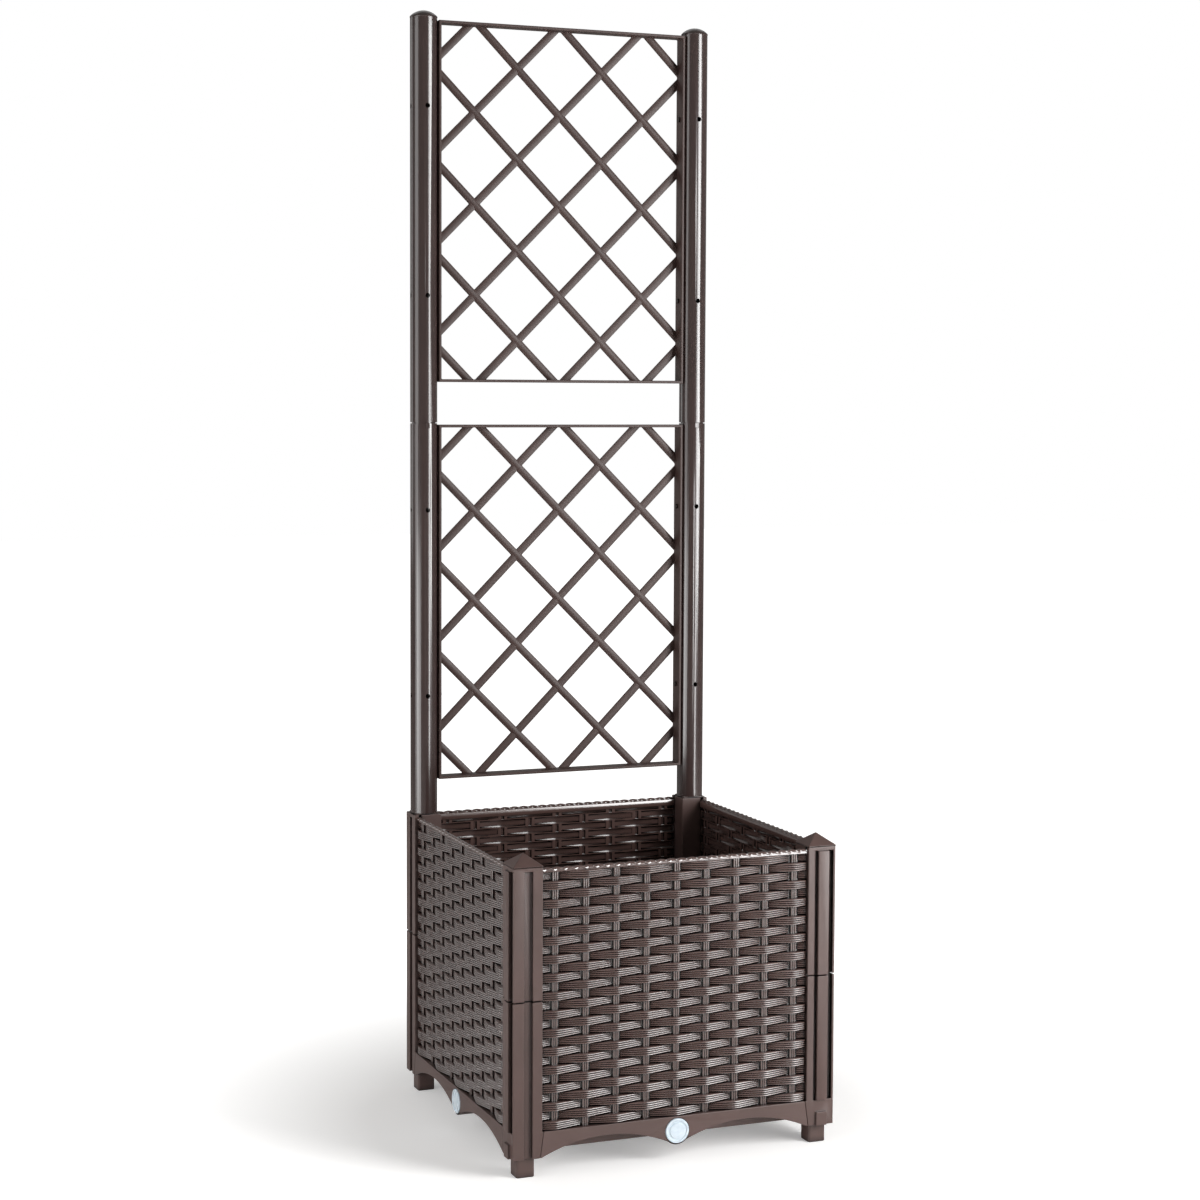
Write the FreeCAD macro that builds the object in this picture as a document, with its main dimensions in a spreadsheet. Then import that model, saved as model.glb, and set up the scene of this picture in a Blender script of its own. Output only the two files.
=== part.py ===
import FreeCAD, Part
import os
import re
import Sketcher

# A square floor planter of moulded plastic with a trellis at its back.
#
# Four corner posts in two tiers stand in the corners of an arched base tray. Four woven-look
# panels slide into slots in the posts. Pyramid caps close the two front posts. Two round poles
# stand on the two back posts, each made of two lengths, and carry two lattice frames one above
# the other. A push-in drain plug sits in the middle of each side of the base tray.
#
# Frame: origin on the floor under the middle of the planter, +X to the right along the front,
# +Y to the back, +Z up. All sizes are millimetres.

# Driving sizes: name, value, meaning. They become the cells of the sheet.
SIZES = [
    ("post_spacing", 369.5, "centre to centre of two neighbouring corner posts"),
    ("post_side", 35.5, "side of the square post"),
    ("foot_side", 22, "side of the square foot, and of every spigot and plug in a post"),
    ("foot_corner", 3, "corner radius of the foot and spigot"),
    ("foot_height", 22.5, "floor to the underside of the post's block"),
    ("foot_wall", 2.5, "wall of the hollow foot and spigot"),
    ("foot_hollow", 19, "depth of the hollow in the foot"),
    ("block_height", 30.5, "height of the plain block that meets the base tray"),
    ("block_ledge", 1.6, "how far the block's top stands out past the post's inner side"),
    ("block_undercut", 2.6, "how far the block's bottom lies back from the post's inner side"),
    ("lower_shaft", 151, "block to the seam between the two tiers"),
    ("upper_shaft", 152.5, "seam to the top of the post"),
    ("collar_height", 4.5, "plain collar at the top of the upper tier"),
    ("socket_clearance", 0.15, "gap round a spigot or plug in the post's socket"),
    ("socket_floor", 3.5, "height of the socket's floor above the foot"),
    ("spigot_length", 20, "length of the upper tier's spigot"),
    ("pilaster_width", 13.5, "flat strip between the post's outer corner and the broad groove"),
    ("broad_groove_width", 10, "broad groove on one outer side of the post"),
    ("broad_groove_depth", 4, "its depth"),
    ("edge_width", 3, "thin strip between the outer corner and the notch on the other side"),
    ("notch_width", 6.5, "dark notch beside the rib"),
    ("notch_depth", 5, "its depth"),
    ("rib_width", 14, "flat rib beside the notch"),
    ("rib_proud", 3, "how far the rib stands out from the post's face"),
    ("fine_groove_width", 3, "narrow groove between the rib and the inner strip"),
    ("fine_groove_depth", 3, "its depth"),
    ("tab_height", 16.5, "height of the short tab on the block, in line with the rib"),
    ("cap_eave", 0.4, "how far the pyramid cap stands out past the post"),
    ("cap_rim", 1.5, "upright edge of the pyramid cap"),
    ("cap_rise", 13, "height of the pyramid above its rim"),
    ("cap_point", 1, "side of the flat at the pyramid's point"),
    ("cap_plug_length", 14, "length of the cap's plug in the post"),
    ("slot_depth", 5, "depth of the panel slot in the post"),
    ("slot_clearance", 0.2, "gap on each side of a panel's edge in its slot"),
    ("slot_end_gap", 0.5, "gap between a panel's edge and the bottom of its slot"),
    ("panel_setback", 2.5, "how far the weave's highest points lie behind the post's face"),
    ("panel_thickness", 3, "plate behind the weave"),
    ("panel_top_gap", 1.5, "panel top below the post's top"),
    ("relief_depth", 3.5, "height of the weave above the plate"),
    ("relief_end_gap", 0.2, "gap between the weave and the post"),
    ("rim_height", 5, "height of the corded rim along the panel's top"),
    ("row_pairs", 14, "pairs of weaver rows"),
    ("weaver_gap", 0.9, "gap between two weaver rows"),
    ("weaver_foot", 0.5, "height of a weaver's end above the plate"),
    ("weaver_end_gap", 0.6, "gap between a weaver's end and the stake it goes under"),
    ("stake_count", 9, "upright stakes in a panel"),
    ("stake_width", 7.8, "width of a stake"),
    ("stake_proud", 2, "height of a stake above the plate"),
    ("stake_margin", 16.6, "post to the middle line of the first stake"),
    ("joint_gap", 0.2, "gap between the post's block and the base tray"),
    ("apron_thickness", 3, "wall of the arched apron"),
    ("deck_thickness", 3, "deck that carries the panels"),
    ("arch_rise", 18, "height of an arch above the apron's lower edge"),
    ("arch_start", 8, "middle of the side to the start of an arch, behind the boss"),
    ("arch_land", 1.6, "foot of the apron between an arch and the post's block"),
    ("pan_setback", 27, "apron's face to the wall of the water pan"),
    ("pan_wall", 2.5, "wall of the pan"),
    ("pan_floor", 3, "floor of the pan"),
    ("pan_lift", 1.5, "underside of the pan above the apron's lower edge"),
    ("boss_diameter", 33, "round boss that holds a drain plug"),
    ("boss_drop", 17, "apron's top edge to the middle of the boss"),
    ("plug_head_diameter", 29, "head of a drain plug"),
    ("plug_head_thickness", 3, "thickness of the head"),
    ("plug_head_proud", 1, "how far the head stands out of the boss"),
    ("plug_head_gap", 0.3, "gap round the head in the boss"),
    ("plug_ring_diameter", 21, "middle of the ring-shaped dent in the head"),
    ("plug_ring_width", 2.5, "width of that dent"),
    ("plug_ring_depth", 0.8, "depth of that dent"),
    ("plug_stem_diameter", 16, "stem of a drain plug"),
    ("plug_stem_gap", 0.05, "running gap round the stem"),
    ("plug_stem_wall", 2, "wall of the hollow stem"),
    ("pole_diameter", 34, "outside of a pole"),
    ("pole_wall", 2, "wall of a pole"),
    ("lower_pole_length", 494, "length of the lower pole"),
    ("upper_pole_length", 503.8, "length of the upper pole"),
    ("hole_diameter", 6, "holes through a pole"),
    ("pilot_diameter", 4.2, "screw holes in the side of a pole that faces the lattice"),
    ("hole_drop", 109.5, "top of a pole to its upper holes"),
    ("hole_spacing", 235, "upper holes to lower holes of a pole"),
    ("seat_side", 29, "square plate between a back post and its pole"),
    ("seat_thickness", 1.5, "thickness of that plate"),
    ("seat_spigot_length", 40, "spigot that stands up into the pole"),
    ("seat_plug_length", 20, "plug that goes down into the post"),
    ("sleeve_clearance", 0.1, "gap round a sleeve, spigot or plug inside a pole"),
    ("sleeve_wall", 2, "wall of the sleeves, plugs and spigots inside a pole"),
    ("sleeve_length", 80, "sleeve that joins two poles"),
    ("key_width", 5, "key of the sleeve, seen in the notch of the lower pole"),
    ("key_height", 6, "height of the key"),
    ("key_gap", 0.2, "gap round the key"),
    ("pole_cap_diameter", 34.8, "domed cap of a pole"),
    ("pole_cap_rim", 1.5, "upright edge of the domed cap"),
    ("pole_cap_rise", 7.7, "height of the dome above its rim"),
    ("pole_cap_plug", 15, "length of the cap's plug in the pole"),
    ("trellis_height", 450, "height of a lattice frame"),
    ("trellis_drop", 2.3, "top of a pole to the top of the lattice frame on it"),
    ("trellis_gap", 0.15, "gap between a lattice frame and a pole"),
    ("frame_wall", 3.5, "thickness of the frame's plates"),
    ("frame_depth", 20, "depth of the frame, front to back"),
    ("slat_width", 10, "width of a diagonal slat"),
    ("slat_thickness", 3.5, "thickness of a diagonal slat"),
    ("slat_spacing", 115, "sideways distance between two parallel slats"),
    ("screw_hole", 4.4, "screw holes in the frame's side plates"),
    ("screw_head_diameter", 6.5, "pan head"),
    ("screw_head_height", 2.2, "height of the head"),
    ("screw_shank_diameter", 4, "shank"),
    ("screw_shank_length", 12, "length under the head"),
]

# Sizes worked out from the driving ones.
DERIVED = {
    "outer_face": "(post_spacing + post_side) / 2",
    "inner_face": "(post_spacing - post_side) / 2",
    "block_bottom_side": "post_side - block_undercut",
    "block_top_side": "post_side + block_ledge",
    "apron_top": "foot_height + block_height",
    "seam_height": "apron_top + lower_shaft",
    "post_top": "seam_height + upper_shaft",
    "socket_side": "foot_side + 2 * socket_clearance",
    "core_side": "foot_side - 2 * foot_wall",
    "core_corner": "foot_corner - foot_wall / 2",
    "rib_start": "edge_width + notch_width",
    "rib_end": "rib_start + rib_width",
    "strip_start": "rib_end + fine_groove_width",
    "plate_setback": "panel_setback + relief_depth",
    "slot_near": "plate_setback - slot_clearance",
    "slot_far": "plate_setback + panel_thickness + slot_clearance",
    "panel_height": "lower_shaft + upper_shaft - panel_top_gap",
    "panel_half": "inner_face + slot_depth - slot_end_gap",
    "relief_half": "inner_face - relief_end_gap",
    "weave_height": "panel_height - rim_height",
    "row_pitch": "weave_height / (2 * row_pairs)",
    "first_stake": "stake_margin - inner_face",
    "stake_pitch": "-2 * first_stake / (stake_count - 1)",
    "weaver_half": "stake_pitch - stake_width / 2 - weaver_end_gap",
    "weaver_rise": "relief_depth - weaver_foot",
    "weaver_radius": "(weaver_half ^ 2 + weaver_rise ^ 2) / (2 * weaver_rise)",
    "rim_rounding": "(relief_depth + panel_thickness) / 2",
    "tray_end_bottom": "outer_face - block_bottom_side - joint_gap",
    "tray_end_top": "outer_face - block_top_side - joint_gap",
    "pan_half": "outer_face - pan_setback",
    "pan_bottom": "foot_height + pan_lift",
    "arch_end": "tray_end_bottom - arch_land",
    "arch_half": "(arch_end - arch_start) / 2",
    "arch_radius": "(arch_half ^ 2 + arch_rise ^ 2) / (2 * arch_rise)",
    "plug_height": "apron_top - boss_drop",
    "head_recess": "plug_head_thickness - plug_head_proud",
    "head_radius": "plug_head_diameter / 2",
    "ring_radius": "plug_ring_diameter / 2",
    "stem_radius": "plug_stem_diameter / 2",
    "stem_bore": "stem_radius + plug_stem_gap",
    "stem_end": "pan_setback + pan_wall",
    "pole_radius": "pole_diameter / 2",
    "pole_bore": "pole_radius - pole_wall",
    "sleeve_radius": "pole_bore - sleeve_clearance",
    "sleeve_bore": "sleeve_radius - sleeve_wall",
    "pole_foot": "post_top + seat_thickness",
    "lower_pole_top": "pole_foot + lower_pole_length",
    "upper_pole_top": "lower_pole_top + upper_pole_length",
    "cap_radius": "pole_cap_diameter / 2",
    "dome_radius": "(cap_radius ^ 2 + pole_cap_rise ^ 2) / (2 * pole_cap_rise)",
    "trellis_half": "post_spacing / 2 - pole_radius - trellis_gap",
    "frame_inside": "trellis_half - frame_wall",
    "slat_skew": "slat_width * sqrt(2) / 2",
    "slat_steps": "floor((trellis_half + trellis_height / 2) / slat_spacing)",
}

CORNERS = ("front_left", "front_right", "back_right", "back_left")
SIDES = ("front", "right", "back", "left")
VERTICAL = FreeCAD.Vector(0, 0, 1)
QUARTERS = ((1, 0), (0, 1), (-1, 0), (0, -1))
WORD = re.compile(r"[a-z]+(?:_[a-z]+)*")

doc = FreeCAD.newDocument("Planter")
sheet = doc.addObject("Spreadsheet::Sheet", "Sizes")
for row, (alias, size, meaning) in enumerate(SIZES, start=1):
    sheet.set(f"A{row}", alias)
    sheet.set(f"B{row}", str(size))
    sheet.setAlias(f"B{row}", alias)
    sheet.set(f"C{row}", meaning)
doc.recompute()
ALIASES = {alias for alias, _, _ in SIZES}


def bound(expression):
    """Spell out derived names and point every driving name at the sheet."""
    def spell(match):
        word = match.group()
        if word in DERIVED:
            return f"({bound(DERIVED[word])})"
        return f"Sizes.{word}" if word in ALIASES else word
    return WORD.sub(spell, str(expression))


def value(expression):
    """Present value of an expression, in millimetres."""
    result = sheet.evalExpression(bound(expression))
    return float(getattr(result, "Value", result))


def origin_feature(body, role):
    return next(feature for feature in body.Origin.OriginFeatures if feature.Role == role)


# ---------------------------------------------------------------- sketches and features

def sketch_on(body, plane, offset="0"):
    """Sketch on one of the body's own planes, moved along the plane's normal."""
    sketch = body.newObject("Sketcher::SketchObject", "Sketch")
    sketch.AttachmentSupport = (origin_feature(body, plane), [""])
    sketch.MapMode = "FlatFace"
    sketch.setExpression("AttachmentOffset.Base.z", bound(offset))
    return sketch


def arc_between(start, end, radius):
    """Minor arc from start to end: anticlockwise for a positive radius, else clockwise."""
    chord = end - start
    middle = (start + end) / 2
    height = abs(radius) - max(radius ** 2 - (chord.Length / 2) ** 2, 0) ** 0.5
    right = FreeCAD.Vector(chord.y, -chord.x, 0).normalize()
    side = 1 if radius > 0 else -1
    return Part.Arc(start, middle + right * height * side, end)


def outline(sketch, corners):
    """Closed outline; a corner is (x, y) or (x, y, radius of the edge that starts there)."""
    points = [FreeCAD.Vector(value(corner[0]), value(corner[1]), 0) for corner in corners]
    first = sketch.GeometryCount
    count = len(corners)
    ends = []
    for index, corner in enumerate(corners):
        start = points[index]
        end = points[(index + 1) % count]
        radius = value(corner[2]) if len(corner) > 2 else 0
        edge = arc_between(start, end, radius) if radius else Part.LineSegment(start, end)
        sketch.addGeometry(edge, False)
        ends.append((2, 1) if radius < 0 else (1, 2))
    constraints = []
    expressions = []
    for index, corner in enumerate(corners):
        edge = first + index
        previous = first + (index - 1) % count
        constraints.append(Sketcher.Constraint("Coincident", previous, ends[index - 1][1], edge, ends[index][0]))
        expressions.append(None)
        for kind, expression, amount in (("DistanceX", corner[0], points[index].x),
                                         ("DistanceY", corner[1], points[index].y)):
            constraints.append(Sketcher.Constraint(kind, -1, 1, edge, ends[index][0], amount))
            expressions.append(bound(expression))
        if len(corner) > 2:
            constraints.append(Sketcher.Constraint("Radius", edge, abs(value(corner[2]))))
            expressions.append(bound(f"abs({corner[2]})"))
    bind(sketch, constraints, expressions)


def circle(sketch, x, y, radius):
    centre = FreeCAD.Vector(value(x), value(y), 0)
    edge = sketch.addGeometry(Part.Circle(centre, FreeCAD.Vector(0, 0, 1), value(radius)), False)
    constraints = [Sketcher.Constraint("DistanceX", -1, 1, edge, 3, centre.x),
                   Sketcher.Constraint("DistanceY", -1, 1, edge, 3, centre.y),
                   Sketcher.Constraint("Radius", edge, value(radius))]
    bind(sketch, constraints, [bound(x), bound(y), bound(radius)])


def bind(sketch, constraints, expressions):
    first = sketch.ConstraintCount
    sketch.addConstraint(constraints)
    for index, expression in enumerate(expressions):
        if expression is not None:
            sketch.setExpression(f"Constraints[{first + index}]", expression)


def rectangle(sketch, left, right, bottom, top):
    outline(sketch, [(left, bottom), (right, bottom), (right, top), (left, top)])


def rounded_square(sketch, middle, side, radius):
    """Square with rounded corners, centred on (middle, middle)."""
    low = f"{middle} - {side} / 2"
    high = f"{middle} + {side} / 2"
    outline(sketch, [
        (f"{low} + {radius}", low), (f"{high} - {radius}", low, radius),
        (high, f"{low} + {radius}"), (high, f"{high} - {radius}", radius),
        (f"{high} - {radius}", high), (f"{low} + {radius}", high, radius),
        (low, f"{high} - {radius}"), (low, f"{low} + {radius}", radius),
    ])


def finish(body, feature):
    """Make a feature the body's newest one; coplanar faces are merged once, in the last one."""
    if body.Tip is not None:
        body.Tip.Refine = False
    body.Tip = feature
    return feature


def feature_from(body, kind, sketch, length, backwards=False, both_ways=False):
    """Pad or pocket of a sketch; a pocket cuts against the sketch's normal unless backwards."""
    feature = body.newObject(f"PartDesign::{kind}", kind)
    feature.Profile = sketch
    feature.setExpression("Length", bound(length))
    feature.Reversed = backwards
    if both_ways:
        feature.SideType = "Symmetric"
    return finish(body, feature)


def pad(body, sketch, length, **options):
    return feature_from(body, "Pad", sketch, length, **options)


def pocket(body, sketch, length, **options):
    return feature_from(body, "Pocket", sketch, length, **options)


def loft(body, first, last):
    feature = body.newObject("PartDesign::AdditiveLoft", "Loft")
    feature.Profile = first
    feature.Sections = [last]
    feature.Ruled = True
    return finish(body, feature)


def revolve(body, sketch, axis):
    feature = body.newObject("PartDesign::Revolution", "Revolution")
    feature.Profile = sketch
    feature.ReferenceAxis = (sketch, [axis])
    feature.Angle = 360
    return finish(body, feature)


def row_of(body, originals, axis, spacing, count):
    """Copies in a straight row; without originals it is a step of a combined pattern."""
    pattern = body.newObject("PartDesign::LinearPattern", "Row")
    if originals:
        pattern.Originals = originals
        finish(body, pattern)
    pattern.Direction = (origin_feature(body, axis), [""])
    pattern.Mode = "Spacing"
    pattern.setExpression("Offset", bound(spacing))
    pattern.setExpression("Occurrences", bound(count))
    return pattern


def four_times(body, originals):
    """The same features on all four sides."""
    pattern = body.newObject("PartDesign::PolarPattern", "Turned")
    pattern.Originals = originals
    pattern.Axis = (origin_feature(body, "Z_Axis"), [""])
    pattern.Angle = 360
    pattern.Occurrences = 4
    return finish(body, pattern)


def row_and_mirror(body, originals, axis, spacing, count):
    """A row of copies, and the same row mirrored left to right."""
    both = body.newObject("PartDesign::MultiTransform", "RowAndMirror")
    both.Originals = originals
    row = row_of(body, [], axis, spacing, count)
    mirror = body.newObject("PartDesign::Mirrored", "Mirror")
    mirror.MirrorPlane = (origin_feature(body, "YZ_Plane"), [""])
    both.Transformations = [row, mirror]
    return finish(body, both)


def new_piece(name, x="0", y="0", z="0", quarter=0):
    """Empty body at (x, y, z), turned with its place by quarter turns about the planter."""
    body = doc.addObject("PartDesign::Body", name)
    body.Label = name
    body.Placement = FreeCAD.Placement(FreeCAD.Vector(), FreeCAD.Rotation(VERTICAL, 90 * quarter))
    cosine, sine = QUARTERS[quarter]
    body.setExpression("Placement.Base.x", bound(f"{cosine} * ({x}) - ({sine}) * ({y})"))
    body.setExpression("Placement.Base.y", bound(f"{sine} * ({x}) + ({cosine}) * ({y})"))
    body.setExpression("Placement.Base.z", bound(z))
    return body


def repeat(original, name, x="0", y="0", z="0", quarter=0):
    """The same moulding once more, at its own place."""
    body = new_piece(name, x, y, z, quarter)
    copy = body.newObject("PartDesign::FeatureBase", "Copy")
    copy.BaseFeature = original
    body.Tip = copy
    return body


# ---------------------------------------------------------------- corner posts
# A post's own origin is its outer corner. Its grooved side lies along x at y = 0, and its
# ribbed side along y at x = 0. The next corner has the same moulding, turned a quarter.

def slotted_sides():
    """The two inner sides with a panel slot in each, from (post_side, 0) to (0, post_side)."""
    slot_end = "post_side - slot_depth"
    return [
        ("post_side", "0"), ("post_side", "slot_near"), (slot_end, "slot_near"),
        (slot_end, "slot_far"), ("post_side", "slot_far"), ("post_side", "post_side"),
        ("slot_far", "post_side"), ("slot_far", slot_end), ("slot_near", slot_end),
        ("slot_near", "post_side"), ("0", "post_side"),
    ]


def post_shaft(body, bottom, height):
    """Fluted length of post, from bottom upwards."""
    section = sketch_on(body, "XY_Plane", bottom)
    groove_end = "pilaster_width + broad_groove_width"
    outline(section, [
        ("0", "0"), ("pilaster_width", "0"), ("pilaster_width", "broad_groove_depth"),
        (groove_end, "broad_groove_depth"), (groove_end, "0"),
        *slotted_sides(),
        ("0", "strip_start"), ("fine_groove_depth", "strip_start"), ("fine_groove_depth", "rib_end"),
        ("-rib_proud", "rib_end"), ("-rib_proud", "rib_start"), ("notch_depth", "rib_start"),
        ("notch_depth", "edge_width"), ("0", "edge_width"),
    ])
    return pad(body, section, height)


def post_socket(body, top, depth):
    """Square socket down from the top."""
    section = sketch_on(body, "XY_Plane", top)
    rounded_square(section, "post_side / 2", "socket_side", "foot_corner")
    return pocket(body, section, depth)


def square_bar(body, level, side, length, downwards=False):
    """Rounded square bar, centred under the post."""
    section = sketch_on(body, "XY_Plane", level)
    rounded_square(section, "post_side / 2", side, "foot_corner")
    return pad(body, section, length, backwards=downwards)


def square_core(body, level, depth, upwards=False):
    """Hollow in a foot or spigot."""
    section = sketch_on(body, "XY_Plane", level)
    rounded_square(section, "post_side / 2", "core_side", "core_corner")
    return pocket(body, section, depth, backwards=upwards)


def lower_post(name):
    body = new_piece(name, "-outer_face", "-outer_face")
    block_foot = sketch_on(body, "XY_Plane", "foot_height")
    rectangle(block_foot, "0", "block_bottom_side", "0", "block_bottom_side")
    block_head = sketch_on(body, "XY_Plane", "apron_top")
    rectangle(block_head, "0", "block_top_side", "0", "block_top_side")
    loft(body, block_foot, block_head)
    groove = sketch_on(body, "XY_Plane", "foot_height")
    rectangle(groove, "pilaster_width", "pilaster_width + broad_groove_width", "0", "broad_groove_depth")
    pocket(body, groove, "block_height", backwards=True)
    tab = sketch_on(body, "XY_Plane", "foot_height")
    rectangle(tab, "-rib_proud", "0", "rib_start", "rib_end")
    pad(body, tab, "tab_height")
    post_shaft(body, "apron_top", "lower_shaft")
    square_bar(body, "0", "foot_side", "foot_height")
    post_socket(body, "seam_height", "seam_height - foot_height - socket_floor")
    square_core(body, "0", "foot_hollow", upwards=True)
    return body


def upper_post(name):
    body = new_piece(name, "-outer_face", "-outer_face")
    post_shaft(body, "seam_height", "upper_shaft - collar_height")
    collar = sketch_on(body, "XY_Plane", "post_top - collar_height")
    outline(collar, [("0", "0"), *slotted_sides()])
    pad(body, collar, "collar_height")
    square_bar(body, "seam_height", "foot_side", "spigot_length", downwards=True)
    post_socket(body, "post_top", "upper_shaft - socket_floor")
    square_core(body, "post_top", "upper_shaft + spigot_length")
    return body


def square_plug(body, length):
    """Hollow plug that goes down into a post's socket, centred on the body's own origin."""
    section = sketch_on(body, "XY_Plane")
    rounded_square(section, "0", "foot_side", "foot_corner")
    rounded_square(section, "0", "core_side", "core_corner")
    return pad(body, section, length, backwards=True)


def post_cap(name):
    body = new_piece(name, "-post_spacing / 2", "-post_spacing / 2", "post_top")
    half = "post_side / 2 + cap_eave"
    rim = sketch_on(body, "XY_Plane")
    rectangle(rim, f"-({half})", half, f"-({half})", half)
    pad(body, rim, "cap_rim")
    base = sketch_on(body, "XY_Plane", "cap_rim")
    rectangle(base, f"-({half})", half, f"-({half})", half)
    point = sketch_on(body, "XY_Plane", "cap_rim + cap_rise")
    rectangle(point, "-cap_point / 2", "cap_point / 2", "-cap_point / 2", "cap_point / 2")
    loft(body, base, point)
    square_plug(body, "cap_plug_length")
    return body


# ---------------------------------------------------------------- base tray

def cross_outline(sketch, reach, notch):
    """Square of half side reach whose corners are cut back to notch."""
    corners = []
    for cosine, sine in QUARTERS:
        for x, y in ((notch, f"-({reach})"), (notch, f"-({notch})"), (reach, f"-({notch})")):
            corners.append((f"{cosine} * ({x}) - ({sine}) * ({y})", f"{sine} * ({x}) + ({cosine}) * ({y})"))
    outline(sketch, corners)


def base_tray():
    body = new_piece("base_tray")
    slab_foot = sketch_on(body, "XY_Plane", "foot_height")
    cross_outline(slab_foot, "outer_face", "tray_end_bottom")
    slab_head = sketch_on(body, "XY_Plane", "apron_top")
    cross_outline(slab_head, "outer_face", "tray_end_top")
    loft(body, slab_foot, slab_head)
    under_deck = sketch_on(body, "XY_Plane", "foot_height")
    apron_inside = "outer_face - apron_thickness"
    rectangle(under_deck, f"-({apron_inside})", apron_inside, f"-({apron_inside})", apron_inside)
    cross_outline(under_deck, "pan_half", "tray_end_top")
    pocket(body, under_deck, "block_height - deck_thickness", backwards=True)
    pan = sketch_on(body, "XY_Plane", "apron_top")
    cross_outline(pan, "pan_half - pan_wall", "tray_end_top - pan_wall")
    pocket(body, pan, "apron_top - pan_bottom - pan_floor")
    under_pan = sketch_on(body, "XY_Plane", "foot_height")
    cross_outline(under_pan, "pan_half", "tray_end_top")
    pocket(body, under_pan, "pan_lift", backwards=True)
    arches = sketch_on(body, "XZ_Plane", "outer_face")
    for start, end in (("arch_start", "arch_end"), ("-arch_end", "-arch_start")):
        outline(arches, [(start, "foot_height"), (end, "foot_height", "arch_radius")])
    four_times(body, [pocket(body, arches, "apron_thickness")])
    boss = sketch_on(body, "XZ_Plane", "outer_face")
    circle(boss, "0", "plug_height", "boss_diameter / 2")
    recess = sketch_on(body, "XZ_Plane", "outer_face")
    circle(recess, "0", "plug_height", "head_radius + plug_head_gap")
    bore = sketch_on(body, "XZ_Plane", "outer_face")
    circle(bore, "0", "plug_height", "stem_bore")
    four_times(body, [
        pad(body, boss, "pan_setback", backwards=True),
        pocket(body, recess, "head_recess"),
        pocket(body, bore, "stem_end"),
    ])


def drain_plug(name):
    """Push-in plug; its own origin lies in the apron's face, and -Y points out of the planter."""
    body = new_piece(name, "0", "-outer_face", "plug_height")
    profile = sketch_on(body, "XY_Plane")
    stem_inside = "stem_radius - plug_stem_wall"
    dent_floor = "plug_ring_depth - plug_head_proud"
    outline(profile, [
        ("0", "-plug_head_proud"), ("ring_radius - plug_ring_width / 2", "-plug_head_proud"),
        ("ring_radius - plug_ring_width / 2", dent_floor), ("ring_radius + plug_ring_width / 2", dent_floor),
        ("ring_radius + plug_ring_width / 2", "-plug_head_proud"), ("head_radius", "-plug_head_proud"),
        ("head_radius", "head_recess"), ("stem_radius", "head_recess"), ("stem_radius", "stem_end"),
        (stem_inside, "stem_end"), (stem_inside, "head_recess"), ("0", "head_recess"),
    ])
    revolve(body, profile, "V_Axis")
    return body


# ---------------------------------------------------------------- woven panels
# A panel's own origin is the middle of its lower edge, in the front face of its plate.

def weaver_height(away):
    """Height of a weaver's arch above the plate, at a distance from its middle."""
    return f"(weaver_foot + weaver_rise - weaver_radius + sqrt(weaver_radius ^ 2 - ({away}) ^ 2))"


def weaver_rows(body, first_over, level):
    """Every second row: flat arches over every second stake, cut off at the panel's ends."""
    section = sketch_on(body, "XY_Plane", level)
    last = round(value("stake_count"))
    for stake in range(first_over, last + 1, 2):
        middle = f"(first_stake + {stake} * stake_pitch)"
        left = f"{middle} - weaver_half"
        left_height = "weaver_foot"
        right = f"{middle} + weaver_half"
        right_height = "weaver_foot"
        if stake <= 0:
            left = "-relief_half"
            left_height = weaver_height(f"{middle} + relief_half")
        if stake >= last - 1:
            right = "relief_half"
            right_height = weaver_height(f"relief_half - {middle}")
        outline(section, [
            (left, "0"), (right, "0"),
            (right, f"-{right_height}", "-weaver_radius"), (left, f"-{left_height}"),
        ])
    weaver = pad(body, section, "row_pitch - weaver_gap")
    return row_of(body, [weaver], "Z_Axis", "2 * row_pitch", "row_pairs")


def wall_panel(name):
    body = new_piece(name, "0", "plate_setback - outer_face", "apron_top")
    plate = sketch_on(body, "XZ_Plane")
    rectangle(plate, "-panel_half", "panel_half", "0", "weave_height")
    pad(body, plate, "panel_thickness", backwards=True)
    stake = sketch_on(body, "XZ_Plane")
    rectangle(stake, "first_stake - stake_width / 2", "first_stake + stake_width / 2", "0", "weave_height")
    row_of(body, [pad(body, stake, "stake_proud")], "X_Axis", "stake_pitch", "stake_count")
    rim = sketch_on(body, "YZ_Plane")
    shoulder = "panel_height - rim_rounding"
    outline(rim, [
        ("-relief_depth", "weave_height"), ("panel_thickness", "weave_height"),
        ("panel_thickness", shoulder, "rim_rounding"),
        ("panel_thickness - rim_rounding", "panel_height", "rim_rounding"), ("-relief_depth", shoulder),
    ])
    pad(body, rim, "2 * relief_half", both_ways=True)
    weaver_rows(body, 0, "0")
    weaver_rows(body, -1, "row_pitch")
    return body


# ---------------------------------------------------------------- poles

def ring(sketch, outside, inside):
    circle(sketch, "0", "0", outside)
    circle(sketch, "0", "0", inside)


def pole(name, side, foot, length):
    """Tube with two levels of cross holes; the screw holes face the lattice."""
    body = new_piece(name, f"{side} * post_spacing / 2", "post_spacing / 2", foot)
    section = sketch_on(body, "XY_Plane")
    ring(section, "pole_radius", "pole_bore")
    pad(body, section, length)
    upper_hole = f"{length} - hole_drop"
    lower_hole = f"{upper_hole} - hole_spacing"
    for plane, radius, options in (
        ("XZ_Plane", "hole_diameter / 2", {"both_ways": True}),
        ("YZ_Plane", "hole_diameter / 2", {"backwards": side > 0}),
        ("YZ_Plane", "pilot_diameter / 2", {"backwards": side < 0}),
    ):
        holes = sketch_on(body, plane)
        circle(holes, "0", upper_hole, radius)
        circle(holes, "0", lower_hole, radius)
        pocket(body, holes, "2 * pole_diameter" if "both_ways" in options else "pole_diameter", **options)
    return body


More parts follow.
